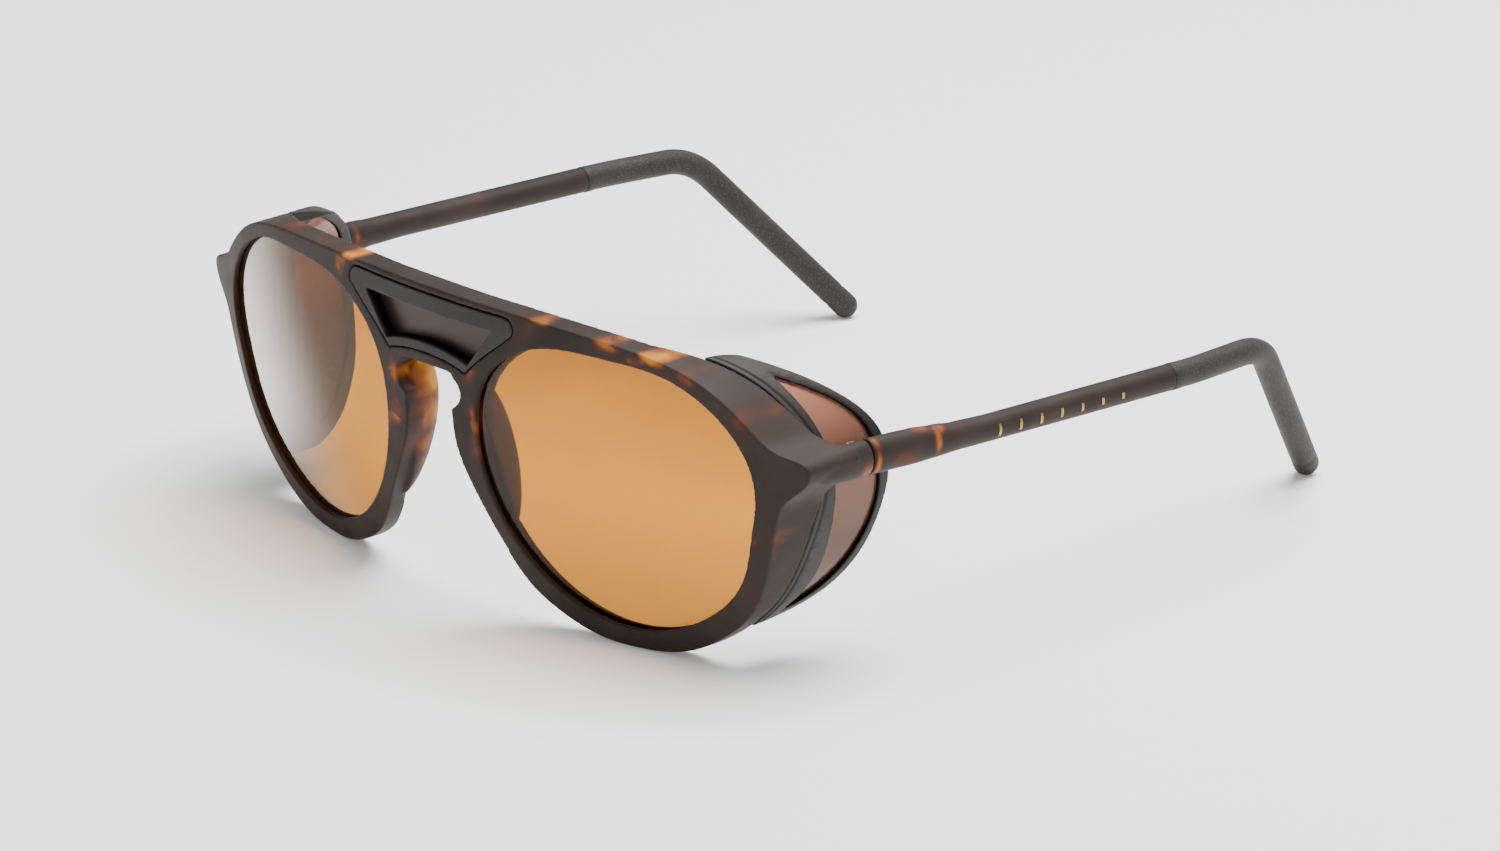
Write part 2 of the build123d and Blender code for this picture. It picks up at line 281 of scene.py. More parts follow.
    links.new(place.outputs["Object"], cloud.inputs["Vector"])
    links.new(place.outputs["Object"], drift.inputs["Vector"])
    links.new(place.outputs["Object"], grain.inputs["Vector"])
    links.new(place.outputs["Object"], haze.inputs["Vector"])
    links.new(cloud.outputs["Fac"], cloudRange.inputs["Value"])
    links.new(warmth.outputs["Fac"], spread.inputs[0])
    links.new(cloudRange.outputs["Result"], spread.inputs[1])
    links.new(spread.outputs["Value"], tones.inputs["Fac"])
    links.new(spread.outputs["Value"], cover.inputs["Value"])
    links.new(drift.outputs["Fac"], driftTones.inputs["Fac"])
    links.new(cover.outputs["Result"], joined.inputs["Factor"])
    links.new(driftTones.outputs["Color"], joined.inputs["A"])
    links.new(tones.outputs["Color"], joined.inputs["B"])
    links.new(joined.outputs["Result"], plastic.inputs["Base Color"])
    links.new(haze.outputs["Fac"], roughRange.inputs["Value"])
    links.new(roughRange.outputs["Result"], plastic.inputs["Roughness"])
    links.new(grain.outputs["Fac"], bump.inputs["Height"])
    links.new(bump.outputs["Normal"], plastic.inputs["Normal"])
    links.new(plastic.outputs["BSDF"], output.inputs["Surface"])
    return material


def rubberMaterial(name, look):
    # matt moulded rubber: a speckle of filler, chalky high spots and a pitted surface, and painted shade
    # that turns the walls of recesses near black
    material = bpy.data.materials.new(name)
    material.use_nodes = True
    nodes = material.node_tree.nodes
    links = material.node_tree.links
    nodes.clear()

    speckFrame = nodes.new("NodeFrame")
    speckFrame.label = "filler speckle"
    skinFrame = nodes.new("NodeFrame")
    skinFrame.label = "moulded skin"

    output = nodes.new("ShaderNodeOutputMaterial")
    output.label = "rubber out"
    output.location = (1350, 0)
    rubber = nodes.new("ShaderNodeBsdfPrincipled")
    rubber.label = "matt rubber"
    rubber.location = (800, 0)
    place = nodes.new("ShaderNodeTexCoord")
    place.label = "place on the rubber"
    place.location = (-900, 0)
    speck = nodes.new("ShaderNodeTexNoise")
    speck.label = "pale filler grains"
    speck.location = (-600, 300)
    speck.parent = speckFrame
    speckTones = nodes.new("ShaderNodeValToRGB")
    speckTones.label = "where a grain shows"
    speckTones.location = (-350, 300)
    speckTones.parent = speckFrame
    bloom = nodes.new("ShaderNodeTexNoise")
    bloom.label = "soft bloom"
    bloom.location = (-600, 50)
    bloom.parent = speckFrame
    bloomTones = nodes.new("ShaderNodeValToRGB")
    bloomTones.label = "charcoal light and dark"
    bloomTones.location = (-350, 50)
    bloomTones.parent = speckFrame
    speckled = nodes.new("ShaderNodeMix")
    speckled.label = "grains over charcoal"
    speckled.location = (0, 200)
    speckled.parent = speckFrame
    pits = nodes.new("ShaderNodeTexVoronoi")
    pits.label = "spark texture of the mould"
    pits.location = (-350, -300)
    pits.parent = skinFrame
    rub = nodes.new("ShaderNodeTexNoise")
    rub.label = "rubbed places"
    rub.location = (-350, -600)
    rub.parent = skinFrame
    rubRange = nodes.new("ShaderNodeMapRange")
    rubRange.label = "matt to slightly polished"
    rubRange.location = (0, -600)
    rubRange.parent = skinFrame
    bump = nodes.new("ShaderNodeBump")
    bump.label = "skin height"
    bump.location = (300, -300)
    bump.parent = skinFrame
    # painted shade: the painted recess value mixes a near-black shader onto the walls of recesses
    recessShade = nodes.new("ShaderNodeAttribute")
    recessShade.label = "painted on the walls of a recess"
    recessShade.location = (500, 450)
    wall = nodes.new("ShaderNodeBsdfPrincipled")
    wall.label = "unlit wall of a recess"
    wall.location = (800, -400)
    whole = nodes.new("ShaderNodeMixShader")
    whole.label = "rubber with dark recess walls"
    whole.location = (1100, 150)

    speck.inputs["Scale"].default_value = look["speckScale"]
    speck.inputs["Detail"].default_value = 2
    speckTones.color_ramp.elements[0].position = look["speckStart"]
    speckTones.color_ramp.elements[0].color = (0, 0, 0, 1)
    speckTones.color_ramp.elements[1].position = look["speckStart"] + 0.12
    speckTones.color_ramp.elements[1].color = look["speckShare"]
    bloom.inputs["Scale"].default_value = 90
    bloom.inputs["Detail"].default_value = 3
    bloomTones.color_ramp.elements[0].position = 0.3
    bloomTones.color_ramp.elements[0].color = look["dark"]
    bloomTones.color_ramp.elements[1].position = 0.7
    bloomTones.color_ramp.elements[1].color = look["light"]
    speckled.data_type = "RGBA"
    speckled.inputs["B"].default_value = look["speckColour"]
    recessShade.attribute_name = "recessShade"
    # near-black stand-in for the shade inside a recess
    wall.inputs["Base Color"].default_value = (0.002, 0.002, 0.002, 1)
    wall.inputs["Specular IOR Level"].default_value = 0.04
    wall.inputs["Roughness"].default_value = 0.9
    pits.inputs["Scale"].default_value = look["pitScale"]
    rub.inputs["Scale"].default_value = 140
    rubRange.inputs["To Min"].default_value = look["roughness"] - 0.08
    rubRange.inputs["To Max"].default_value = look["roughness"] + 0.08
    bump.inputs["Strength"].default_value = look["bump"]
    bump.inputs["Distance"].default_value = 0.00005
    rubber.inputs["Specular IOR Level"].default_value = look["shine"]
    rubber.inputs["Sheen Weight"].default_value = 0.03
    rubber.inputs["Sheen Roughness"].default_value = 0.5

    links.new(place.outputs["Object"], speck.inputs["Vector"])
    links.new(place.outputs["Object"], bloom.inputs["Vector"])
    links.new(place.outputs["Object"], pits.inputs["Vector"])
    links.new(place.outputs["Object"], rub.inputs["Vector"])
    links.new(speck.outputs["Fac"], speckTones.inputs["Fac"])
    links.new(bloom.outputs["Fac"], bloomTones.inputs["Fac"])
    links.new(speckTones.outputs["Color"], speckled.inputs["Factor"])
    links.new(bloomTones.outputs["Color"], speckled.inputs["A"])
    links.new(speckled.outputs["Result"], rubber.inputs["Base Color"])
    links.new(rub.outputs["Fac"], rubRange.inputs["Value"])
    links.new(rubRange.outputs["Result"], rubber.inputs["Roughness"])
    links.new(pits.outputs["Distance"], bump.inputs["Height"])
    links.new(bump.outputs["Normal"], rubber.inputs["Normal"])
    links.new(recessShade.outputs["Fac"], whole.inputs["Fac"])
    links.new(rubber.outputs["BSDF"], whole.inputs[1])
    links.new(wall.outputs["BSDF"], whole.inputs[2])
    links.new(whole.outputs["Shader"], output.inputs["Surface"])
    return material


def tintedMaterial(name, look):
    # a see-through tinted panel under a thin flash mirror; its tint changes with height, partly the
    # panel's own colour and partly painted light: a painted shadow of the brow darkens the top of the
    # lens, a painted reflection of the overhead light lightens the top of the shield windows, and every
    # panel is darker towards the foot
    material = bpy.data.materials.new(name)
    material.use_nodes = True
    nodes = material.node_tree.nodes
    links = material.node_tree.links
    nodes.clear()

    tintAndShadingFrame = nodes.new("NodeFrame")
    tintAndShadingFrame.label = "tint of the panel"
    mirrorFrame = nodes.new("NodeFrame")
    mirrorFrame.label = "flash mirror"

    output = nodes.new("ShaderNodeOutputMaterial")
    output.label = "panel out"
    output.location = (1100, 0)
    place = nodes.new("ShaderNodeTexCoord")
    place.label = "place on the panel"
    place.location = (-900, 0)
    split = nodes.new("ShaderNodeSeparateXYZ")
    split.label = "height alone"
    split.location = (-750, 450)
    split.parent = tintAndShadingFrame
    rise = nodes.new("ShaderNodeMapRange")
    rise.label = "darker foot, lighter top"
    rise.location = (-600, 450)
    rise.parent = tintAndShadingFrame
    blur = nodes.new("ShaderNodeMath")
    blur.label = "height with a little unevenness"
    blur.location = (-450, 350)
    blur.parent = tintAndShadingFrame
    unevenness = nodes.new("ShaderNodeTexNoise")
    unevenness.label = "slight unevenness of the dye"
    unevenness.location = (-600, 200)
    unevenness.parent = tintAndShadingFrame
    # painted light and shade: the colour by height darkens the lens top as a painted shadow of the brow
    # and lightens the shield windows' top as a painted reflection of the overhead light
    tintAndShadingTones = nodes.new("ShaderNodeValToRGB")
    tintAndShadingTones.label = "tint from foot to top"
    tintAndShadingTones.location = (-350, 200)
    tintAndShadingTones.parent = tintAndShadingFrame
    body = nodes.new("ShaderNodeBsdfPrincipled")
    body.label = "tinted see-through body"
    body.location = (200, 300)
    body.parent = tintAndShadingFrame
    smear = nodes.new("ShaderNodeTexNoise")
    smear.label = "faint smears on the coat"
    smear.location = (-600, -300)
    smear.parent = mirrorFrame
    smearRange = nodes.new("ShaderNodeMapRange")
    smearRange.label = "polish of the coat"
    smearRange.location = (-350, -300)
    smearRange.parent = mirrorFrame
    mirror = nodes.new("ShaderNodeBsdfPrincipled")
    mirror.label = "bronze mirror coat"
    mirror.location = (200, -300)
    mirror.parent = mirrorFrame
    glance = nodes.new("ShaderNodeLayerWeight")
    glance.label = "stronger at a glancing view"
    glance.location = (-350, -600)
    glance.parent = mirrorFrame
    share = nodes.new("ShaderNodeMapRange")
    share.label = "share that is mirrored"
    share.location = (-50, -600)
    share.parent = mirrorFrame
    both = nodes.new("ShaderNodeMixShader")
    both.label = "mirror over body"
    both.location = (800, 0)

    unevenness.inputs["Scale"].default_value = 60
    unevenness.inputs["Detail"].default_value = 2
    rise.inputs["From Min"].default_value = look["footHeight"]
    rise.inputs["From Max"].default_value = look["topHeight"]
    rise.inputs["To Min"].default_value = -0.1
    rise.inputs["To Max"].default_value = 0.9
    blur.operation = "MULTIPLY_ADD"
    blur.inputs[1].default_value = 0.2
    tintAndShadingTones.color_ramp.elements[0].position = 0.0
    tintAndShadingTones.color_ramp.elements[0].color = look["tintAndShadingFoot"]
    tintAndShadingTones.color_ramp.elements[1].position = 1.0
    tintAndShadingTones.color_ramp.elements[1].color = look["tintAndShadingTop"]
    middleStop = tintAndShadingTones.color_ramp.elements.new(0.5)
    middleStop.color = look["tintAndShadingMiddle"]
    body.inputs["Transmission Weight"].default_value = look["seeThrough"]
    body.inputs["Roughness"].default_value = look["bodyRoughness"]
    body.inputs["IOR"].default_value = look["ior"]
    smear.inputs["Scale"].default_value = 120
    smear.inputs["Detail"].default_value = 4
    smearRange.inputs["To Min"].default_value = look["coatRoughness"]
    smearRange.inputs["To Max"].default_value = look["coatRoughness"] + 0.05
    mirror.inputs["Base Color"].default_value = look["mirror"]
    mirror.inputs["Metallic"].default_value = 1
    glance.inputs["Blend"].default_value = 0.5
    share.interpolation_type = "SMOOTHSTEP"
    share.inputs["From Min"].default_value = look["glanceFrom"]
    share.inputs["From Max"].default_value = look["glanceTo"]
    share.inputs["To Min"].default_value = look["shareFacing"]
    share.inputs["To Max"].default_value = look["shareGlancing"]

    links.new(place.outputs["Object"], unevenness.inputs["Vector"])
    links.new(place.outputs["Object"], smear.inputs["Vector"])
    links.new(place.outputs["Object"], split.inputs["Vector"])
    links.new(split.outputs["Z"], rise.inputs["Value"])
    links.new(unevenness.outputs["Fac"], blur.inputs[0])
    links.new(rise.outputs["Result"], blur.inputs[2])
    links.new(blur.outputs["Value"], tintAndShadingTones.inputs["Fac"])
    links.new(tintAndShadingTones.outputs["Color"], body.inputs["Base Color"])
    links.new(smear.outputs["Fac"], smearRange.inputs["Value"])
    links.new(smearRange.outputs["Result"], mirror.inputs["Roughness"])
    links.new(glance.outputs["Facing"], share.inputs["Value"])
    links.new(share.outputs["Result"], both.inputs["Fac"])
    links.new(body.outputs["BSDF"], both.inputs[1])
    links.new(mirror.outputs["BSDF"], both.inputs[2])
    links.new(both.outputs["Shader"], output.inputs["Surface"])
    return material


def metalMaterial(name, look):
    material = bpy.data.materials.new(name)
    material.use_nodes = True
    nodes = material.node_tree.nodes
    links = material.node_tree.links
    nodes.clear()

    toneFrame = nodes.new("NodeFrame")
    toneFrame.label = "metal tone and tarnish"
    finishFrame = nodes.new("NodeFrame")
    finishFrame.label = "fine tooling lines"

    output = nodes.new("ShaderNodeOutputMaterial")
    output.label = "metal out"
    output.location = (900, 0)
    metal = nodes.new("ShaderNodeBsdfPrincipled")
    metal.label = "plated metal"
    metal.location = (600, 0)
    place = nodes.new("ShaderNodeTexCoord")
    place.label = "place on the metal"
    place.location = (-900, 0)
    tarnish = nodes.new("ShaderNodeTexNoise")
    tarnish.label = "tarnish"
    tarnish.location = (-500, 250)
    tarnish.parent = toneFrame
    tones = nodes.new("ShaderNodeValToRGB")
    tones.label = "bright to dulled"
    tones.location = (-200, 250)
    tones.parent = toneFrame
    stretch = nodes.new("ShaderNodeMapping")
    stretch.label = "draws the lines out"
    stretch.location = (-700, -250)
    stretch.parent = finishFrame
    lines = nodes.new("ShaderNodeTexNoise")
    lines.label = "tooling lines"
    lines.location = (-500, -250)
    lines.parent = finishFrame
    lineRange = nodes.new("ShaderNodeMapRange")
    lineRange.label = "polish"
    lineRange.location = (-200, -250)
    lineRange.parent = finishFrame
    bump = nodes.new("ShaderNodeBump")
    bump.label = "line height"
    bump.location = (100, -400)
    bump.parent = finishFrame

    tarnish.inputs["Scale"].default_value = 900
    tarnish.inputs["Detail"].default_value = 3
    tones.color_ramp.elements[0].position = 0.35
    tones.color_ramp.elements[0].color = look["dull"]
    tones.color_ramp.elements[1].position = 0.65
    tones.color_ramp.elements[1].color = look["bright"]
    stretch.inputs["Scale"].default_value = (1, 1, 9)
    lines.inputs["Scale"].default_value = 1500
    lineRange.inputs["To Min"].default_value = look["roughness"] - 0.08
    lineRange.inputs["To Max"].default_value = look["roughness"] + 0.12
    bump.inputs["Strength"].default_value = 0.15
    bump.inputs["Distance"].default_value = 0.00003
    metal.inputs["Metallic"].default_value = 1

    links.new(place.outputs["Object"], tarnish.inputs["Vector"])
    links.new(place.outputs["Object"], stretch.inputs["Vector"])
    links.new(stretch.outputs["Vector"], lines.inputs["Vector"])
    links.new(tarnish.outputs["Fac"], tones.inputs["Fac"])
    links.new(tones.outputs["Color"], metal.inputs["Base Color"])
    links.new(lines.outputs["Fac"], lineRange.inputs["Value"])
    links.new(lineRange.outputs["Result"], metal.inputs["Roughness"])
    links.new(lines.outputs["Fac"], bump.inputs["Height"])
    links.new(bump.outputs["Normal"], metal.inputs["Normal"])
    links.new(metal.outputs["BSDF"], output.inputs["Surface"])
    return material


looks = {
    "tortoise": {
        "dark": (0.0172, 0.0122, 0.0098, 1),
        "brown": (0.037, 0.0225, 0.017, 1),
        "darkRed": (0.036, 0.0125, 0.008, 1),
        "red": (0.095, 0.025, 0.012, 1),
        "orange": (0.25, 0.078, 0.01, 1),
        "amber": (0.5, 0.19, 0.018, 1),
        "cloudScale": 260,
        "roughness": 0.54,
        "shine": 0.16,
    },
    "charcoal": {
        "dark": (0.0112, 0.0092, 0.0082, 1),
        "light": (0.0172, 0.0146, 0.0132, 1),
        "speckColour": (0.045, 0.044, 0.042, 1),
        "speckScale": 4200,
        "speckStart": 0.6,
        "speckShare": (0.25, 0.25, 0.25, 1),
        "pitScale": 5200,
        "roughness": 0.58,
        "bump": 0.12,
        "shine": 0.3,
    },
    "sleeve": {
        "dark": (0.0155, 0.0132, 0.0118, 1),
        "light": (0.0225, 0.0195, 0.0175, 1),
        "speckColour": (0.07, 0.066, 0.062, 1),
        "speckScale": 3600,
        "speckStart": 0.55,
        "speckShare": (0.5, 0.5, 0.5, 1),
        "pitScale": 3800,
        "roughness": 0.62,
        "bump": 0.25,
        "shine": 0.25,
    },
    "lens": {
        # lens tint: its darker top is a painted shadow of the brow, the middle is lightest, and it
        # darkens towards the foot
        "tintAndShadingFoot": (0.3, 0.126, 0.022, 1),
        "tintAndShadingMiddle": (0.5, 0.188, 0.0035, 1),
        "tintAndShadingTop": (0.3, 0.1, 0.001, 1),
        "footHeight": 0.002,
        "topHeight": 0.052,
        "seeThrough": 1.0,
        "bodyRoughness": 0.0,
        "ior": 1.12,
        "coatRoughness": 0.02,
        "mirror": (0.95, 0.87, 0.78, 1),
        "shareFacing": 0.025,
        "shareGlancing": 0.72,
        "glanceFrom": 0.55,
        "glanceTo": 0.8,
    },
    "copper": {
        # shield window tint: its light top is a painted reflection of the overhead light, and it darkens
        # towards the foot
        "tintAndShadingFoot": (0.03, 0.0155, 0.012, 1),
        "tintAndShadingMiddle": (0.16, 0.07, 0.046, 1),
        "tintAndShadingTop": (0.33, 0.14, 0.088, 1),
        "footHeight": 0.02,
        "topHeight": 0.046,
        "seeThrough": 0.25,
        "bodyRoughness": 0.15,
        "ior": 1.2,
        "coatRoughness": 0.25,
        "mirror": (0.5, 0.29, 0.21, 1),
        "shareFacing": 0.12,
        "shareGlancing": 0.28,
        "glanceFrom": 0.35,
        "glanceTo": 0.85,
    },
    "brown": {
        "tintAndShadingFoot": (0.022, 0.012, 0.0105, 1),
        "tintAndShadingMiddle": (0.028, 0.0158, 0.0138, 1),
        "tintAndShadingTop": (0.034, 0.0195, 0.017, 1),
        "footHeight": 0.042,
        "topHeight": 0.052,
        "seeThrough": 0.0,
        "bodyRoughness": 0.4,
        "ior": 1.35,
        "coatRoughness": 0.3,
        "mirror": (0.2, 0.13, 0.12, 1),
        "shareFacing": 0.04,
        "shareGlancing": 0.2,
        "glanceFrom": 0.2,
        "glanceTo": 0.9,
    },
    "steel": {"dull": (0.42, 0.41, 0.4, 1), "bright": (0.62, 0.61, 0.6, 1), "roughness": 0.3},
    "gold": {"dull": (0.3, 0.16, 0.05, 1), "bright": (0.56, 0.33, 0.11, 1), "roughness": 0.38},
}


def dress(piece, material):
    piece.data.materials.clear()
    piece.data.materials.append(material)


# moulded pieces start from the CAD solids, and their edges are rounded by smoothing
mouldSet = {
    # voxel in mm, smoothing rounds, share of faces kept
    "front_frame": {"voxel": 0.2, "rounds": 9, "keep": 0.4},
    "bridge_gasket": {"voxel": 0.13, "rounds": 3, "keep": 0.5},
    "shield_frame": {"voxel": 0.18, "rounds": 8, "keep": 0.5},
    "smoothing": 0.5,
}
padBlend = {
    # the moulded nose pads flow into the back of the rim: limits in mm
    "halfSpan": 15.0,
    "fadeFrom": -71.9,
    "fadeTo": -70.9,
    "foot": 12.0,
    "top": 42.0,
    "rounds": 30,
}


def newPiece(name, mesh):
    piece = bpy.data.objects.new(name, mesh)
    scene.collection.objects.link(piece)
    return piece


def applyModifiers(piece):
    depsgraph = bpy.context.evaluated_depsgraph_get()
    done = bpy.data.meshes.new_from_object(piece.evaluated_get(depsgraph))
    piece.modifiers.clear()
    piece.data = done


def blendPads(piece):
    # extra smoothing behind the face, round both nose pads
    group = piece.vertex_groups.new(name="padBlend")
    for vertex in piece.data.vertices:
        x, y, z = (value / mm for value in vertex.co)
        if abs(x) < padBlend["halfSpan"] and padBlend["foot"] < z < padBlend["top"]:
            weight = (y - padBlend["fadeFrom"]) / (padBlend["fadeTo"] - padBlend["fadeFrom"])
            if weight > 0:
                group.add([vertex.index], min(1, weight), "REPLACE")
    smooth = piece.modifiers.new("flowPads", "SMOOTH")
    smooth.factor = mouldSet["smoothing"]
    smooth.iterations = padBlend["rounds"]
    smooth.vertex_group = "padBlend"
    applyModifiers(piece)
    piece.vertex_groups.clear()


def distancesTo(piece, cadName):
    # how far each point of the piece is from a CAD node, in mm
    mesh = cadNodes[cadName].data
    tree = BVHTree.FromPolygons([v.co for v in mesh.vertices], [p.vertices for p in mesh.polygons])
    return [tree.find_nearest(vertex.co)[3] / mm for vertex in piece.data.vertices]


# distances from the rim in mm; only faces that look outwards are cut
beadSet = {"middle": 1.35, "halfWidth": 0.4, "depth": 0.32, "outward": 0.2}


def cutBead(piece):
    # a fine groove along the shield, a little behind the rim, leaves a bead next to the seam
    moves = []
    for vertex, away in zip(piece.data.vertices, distancesTo(piece, "front_frame")):
        share = abs(away - beadSet["middle"]) / beadSet["halfWidth"]
        outward = vertex.normal.x * math.copysign(1, vertex.co.x)
        if share < 1 and outward > beadSet["outward"]:
            depth = beadSet["depth"] * (1 - share ** 2) ** 2
            moves.append((vertex, vertex.normal * depth * mm))
    for vertex, move in moves:
        vertex.co -= move


def plainCopy(name, cadName):
    piece = newPiece(name, cadNodes[cadName].data.copy())
    piece.data.materials.clear()
    return piece


def mould(name, cadName, settings):
    piece = newPiece(name, cadNodes[cadName].data.copy())
    piece.data.materials.clear()
    remesh = piece.modifiers.new("evenSkin", "REMESH")
    remesh.mode = "VOXEL"
    remesh.voxel_size = settings["voxel"] * mm
    smooth = piece.modifiers.new("roundEdges", "SMOOTH")
    smooth.factor = mouldSet["smoothing"]
    smooth.iterations = settings["rounds"]
    if cadName == "front_frame":
        applyModifiers(piece)
        blendPads(piece)
    if cadName.endswith("shield_frame"):
        applyModifiers(piece)
        cutBead(piece)
    thin = piece.modifiers.new("fewerFaces", "DECIMATE")
    thin.ratio = settings["keep"]
    applyModifiers(piece)
    piece.data.shade_smooth()
    return piece


patchSet = {
    # on the face, seen from the front: middle x and z in mm, half length, half height, lean, warmth
    "front": [
        (45.6, 52.3, 1.7, 0.8, -20, 1.0),
        (37.6, 52.9, 1.9, 0.5, -10, 0.62),
        (41.2, 51.6, 2.2, 0.5, -14, 0.5),
        (51.5, 49.8, 1.6, 0.7, -38, 0.3),
        (61.9, 23.7, 0.6, 1.0, 0, 0.62),
        (60.4, 44.2, 0.7, 1.4, 40, 0.28),
        (10.2, 41.6, 1.3, 2.4, -35, 0.42),
        (10.2, 34.0, 0.7, 4.4, 6, 0.36),
        (9.6, 37.0, 0.5, 1.0, 0, 0.55),
        (24.6, 54.2, 1.5, 0.4, -3, 0.6),
        (22.0, 52.0, 2.2, 2.0, 0, 0.2),
        (-19.8, 54.3, 1.6, 0.45, 4, 0.9),
        (-22.6, 52.4, 1.0, 1.7, 20, 0.5),
        (-8.6, 38.2, 1.2, 1.8, 25, 0.86),
        (-8.8, 31.0, 1.4, 2.6, -10, 0.5),
        (-63.2, 24.5, 0.7, 2.4, 0, 0.45),
        (-40.0, 53.2, 2.2, 0.6, 12, 0.3),
        (-46.0, 1.8, 2.4, 0.8, 22, 0.4),
        (-57.5, 47.0, 1.4, 1.6, 45, 0.35),
    ],
    # anywhere on the frame: middle x, y and z in mm, reach, warmth
    "spots": [
        (70.7, -45.3, 34.4, 1.5, 0.62),
        (65.9, -59.6, 25.2, 1.5, 0.5),
        (65.6, -60.2, 22.6, 1.3, 0.42),
        (-69.9, -45.6, 34.9, 1.5, 0.4),
        (-7.4, -68.6, 36.2, 3.4, 0.95),
        (-7.0, -67.4, 30.8, 3.8, 0.72),
        (-8.0, -66.6, 24.6, 4.2, 0.5),
    ],
    # mm along the temple from the seam, degrees round it, half length, half angle, warmth
    "temple": [
        (0.9, -22, 0.5, 45, 1.0),
        (0.9, 55, 0.6, 30, 0.5),
        (10.2, 78, 1.7, 22, 0.55),
        (13.4, 20, 0.6, 45, 0.7),
        (14.0, 62, 1.2, 22, 0.5),
        (6.0, -25, 2.6, 30, 0.22),
        (18.0, 200, 2.0, 30, 0.5),
        (36.0, 230, 3.0, 30, 0.3),
    ],
    "fade": {"left": 1.0, "right": 0.45},  # how strong the temple's patches are
    "rightTurn": 140,  # degrees by which the right temple's patches are turned round it
    "peak": 1.45,  # a patch is full up to where peak - fall * reach drops below 1
    "fall": 0.8,
    "wobble": 0.25,
    "wobbleScale": 210,
}


def pointsOf(piece):
    points = np.zeros(len(piece.data.vertices) * 3)
    piece.data.vertices.foreach_get("co", points)
    return points.reshape(-1, 3)


def paint(piece, name, values):
    attribute = piece.data.attributes.new(name, "FLOAT", "POINT")
    attribute.data.foreach_set("value", np.asarray(values, dtype=np.float32))


def strength(reach):
    # 1 in the middle of a patch, fading to 0 outside it
    return np.clip(patchSet["peak"] - reach * patchSet["fall"], 0, 1)


def paintWarmth(piece, total):
    # noise makes the patches uneven
    scale = patchSet["wobbleScale"]
    uneven = np.array([noise.noise(Vector(point) * scale) for point in pointsOf(piece)])
    paint(piece, "warmth", np.clip(total + uneven * patchSet["wobble"] * (total > 0), 0, 1))


def paintFront(piece):
    points = pointsOf(piece)
    across = points[:, 0] / mm
    height = points[:, 2] / mm
    total = np.zeros(len(points))
    for x, z, halfLength, halfHeight, lean, warmth in patchSet["front"]:
        angle = math.radians(lean)
        along = (across - x) * math.cos(angle) + (height - z) * math.sin(angle)
        aside = (height - z) * math.cos(angle) - (across - x) * math.sin(angle)
        reach = np.sqrt((along / halfLength) ** 2 + (aside / halfHeight) ** 2)
        total = np.maximum(total, warmth * strength(reach))
    for x, y, z, size, warmth in patchSet["spots"]:
        reach = np.linalg.norm(points / mm - np.array([x, y, z]), axis=1) / size
        total = np.maximum(total, warmth * strength(reach))
    paintWarmth(piece, total)


# in mm, from the curved face of the front: where the painted shade of a recess starts, and over what
# depth it deepens to full
faceSphere = {"centre": (0, 86.48, 47.92), "radius": 162.0, "shadeFrom": 0.3, "shadeOver": 0.5}


def paintRecessShade(piece):
    # painted shade: the deeper a point lies behind the face, the darker it is painted
    away = np.linalg.norm(pointsOf(piece) / mm - np.array(faceSphere["centre"]), axis=1)
    depth = faceSphere["radius"] - away
    paint(piece, "recessShade", np.clip((depth - faceSphere["shadeFrom"]) / faceSphere["shadeOver"], 0, 1))


# painted shade on the walls of the shield frame's opening, in mm from the panel: fully shaded, and not
# shaded at all
wallShadeSet = {"near": 0.45, "far": 0.75}  # mm from the panel: fully dark, not dark at all


def paintWallShade(piece, cadName):
    # paints shade on the walls of an opening, which lie close to the panel that fills it
    away = np.array(distancesTo(piece, cadName))
    shade = (wallShadeSet["far"] - away) / (wallShadeSet["far"] - wallShadeSet["near"])
    paint(piece, "recessShade", np.clip(shade, 0, 1))


templeSet = {
    "seamY": -43.97,
    "hingeZ": 35.82,
    "shaftX": 70.0,
    "sleeveStart": (70.0, 23.18, 33.22),
    "sleeveLead": (70.0, 29.28, 32.98),
    "bend": (68.07, 47.38, 32.32),
    "tip": (55.35, 73.28, 2.24),
    "radius": 2.22,
    "bendRadius": 12.0,
    "leadRadius": 60.0,
    # distance from the seam, half width, half height, how far inwards
    "stations": [
        (0, 2.3, 3.0, 1.5),
        (5, 2.3, 3.0, 1.3),
        (9.5, 2.3, 2.97, 1.0),
        (14, 2.27, 2.69, 0.65),
        (18.5, 2.23, 2.35, 0.3),
        (26, 2.22, 2.22, 0),
        (70, 2.22, 2.22, 0),
    ],
    "ringPoints": 56,
    "ringCount": 150,
    "edgeRound": 0.28,
    # rings along each rounded end, as shares of its length
    "seamSteps": (0, 0.08, 0.3, 0.6, 1),
    "sleeveSteps": (1, 0.5, 0.2, 0),
}


def smoothValue(stations, column, distance):
    # a smooth curve through the stations
    for low, high in zip(stations, stations[1:]):
        if distance <= high[0]:
            share = (distance - low[0]) / (high[0] - low[0])
            share = share * share * (3 - 2 * share)
            return low[column] + (high[column] - low[column]) * share
    return stations[-1][column]


